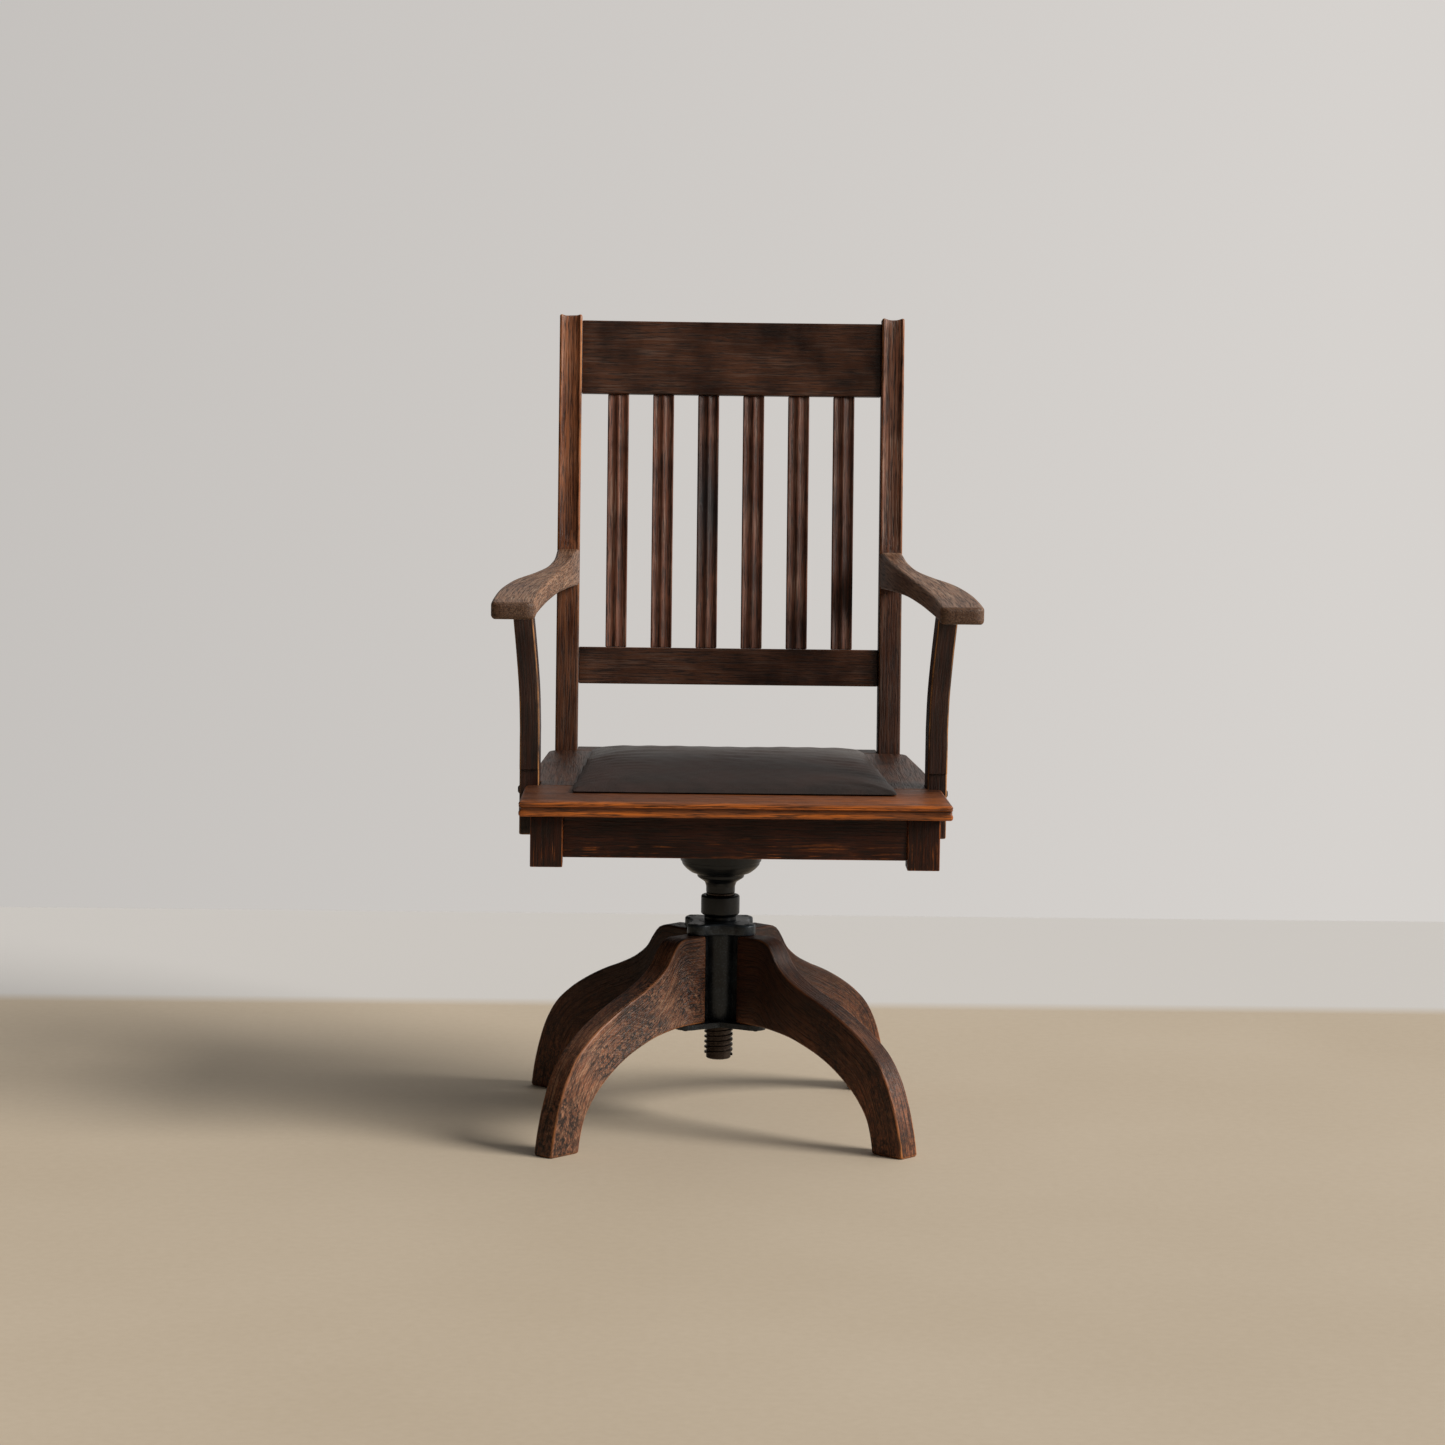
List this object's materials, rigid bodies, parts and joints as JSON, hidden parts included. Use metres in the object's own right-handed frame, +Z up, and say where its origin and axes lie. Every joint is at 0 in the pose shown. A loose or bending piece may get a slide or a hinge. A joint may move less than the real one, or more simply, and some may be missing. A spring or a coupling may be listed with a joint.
{
  "type": "swivel office chair",
  "caption": "Wooden office armchair with a slatted leaning back and a leather pad, turning and rising on a screw over curved wooden legs.",
  "frame": {"origin": "on the floor under the middle of the chair's bounding box", "axes": "+Z up, the chair faces -Y, +X is to the right seen from the front"},
  "size_m": [0.5728, 0.5684, 0.9695],
  "materials": {
    "dark_oak": "old dark stain under worn wax",
    "worn_oak": "stain worn back to orange-brown wood",
    "leg_oak": "mottled dry dark stain",
    "leather": "old black-brown hide, satin",
    "cast_iron": "black japanned casting, satin",
    "steel": "dark oiled steel"
  },
  "bodies": {
    "base": {"hub": "cast_iron", "lower_leg_plate": "cast_iron", "guide_screw": "steel", "leg_rear_right": "leg_oak", "leg_rear_left": "leg_oak", "leg_front_left": "leg_oak", "leg_front_right": "leg_oak", "leg_bolt_rear_right": "steel", "leg_bolt_rear_left": "steel", "leg_bolt_front_left": "steel", "leg_bolt_front_right": "steel", "leg_screw_rear_right": "steel", "leg_screw_rear_left": "steel", "leg_screw_front_left": "steel", "leg_screw_front_right": "steel"},
    "nut": {"adjusting_nut": "cast_iron"},
    "spindle": {"screw_spindle": "steel", "thrust_washer": "steel"},
    "seat": {"seat_iron": "cast_iron", "batten_front": "dark_oak", "batten_rear": "dark_oak", "iron_screw_rear_right": "steel", "iron_screw_rear_left": "steel", "iron_screw_front_left": "steel", "iron_screw_front_right": "steel", "apron_front": "dark_oak", "apron_rear": "dark_oak", "apron_left": "dark_oak", "apron_right": "dark_oak", "front_stub_left": "dark_oak", "front_stub_right": "dark_oak", "seat_rail_front": "worn_oak", "seat_rail_rear": "dark_oak", "seat_rail_left": "dark_oak", "seat_rail_right": "dark_oak", "seat_panel": "dark_oak", "leather_cushion": "leather", "back_post_left": "dark_oak", "back_post_right": "dark_oak", "crest_rail": "dark_oak", "lower_rail": "dark_oak", "slat_1": "dark_oak", "slat_2": "dark_oak", "slat_3": "dark_oak", "slat_4": "dark_oak", "slat_5": "dark_oak", "slat_6": "dark_oak", "arm_left": "dark_oak", "arm_right": "dark_oak", "arm_support_left": "dark_oak", "arm_support_right": "dark_oak", "support_screw_left": "steel", "support_screw_right": "steel", "arm_screw_left": "steel", "arm_screw_right": "steel"}
  },
  "joints": [
    {"name": "height", "type": "slide", "parent": "base", "child": "spindle", "axis": [0, 0, 1], "range_m": [0, 0.0889]},
    {"name": "nut_turn", "type": "hinge", "parent": "base", "child": "nut", "pos_m": [-0.0112, -0.0294, 0.263], "axis": [0, 0, 1], "range_deg": [-5045, 5]},
    {"name": "swivel", "type": "hinge", "parent": "spindle", "child": "seat", "pos_m": [-0.0112, -0.0294, 0.3], "axis": [0, 0, 1], "continuous": true}
  ],
  "couplings": [
    {"joint": "nut_turn", "follows": "height", "rad_per_m": -989.48}
  ]
}
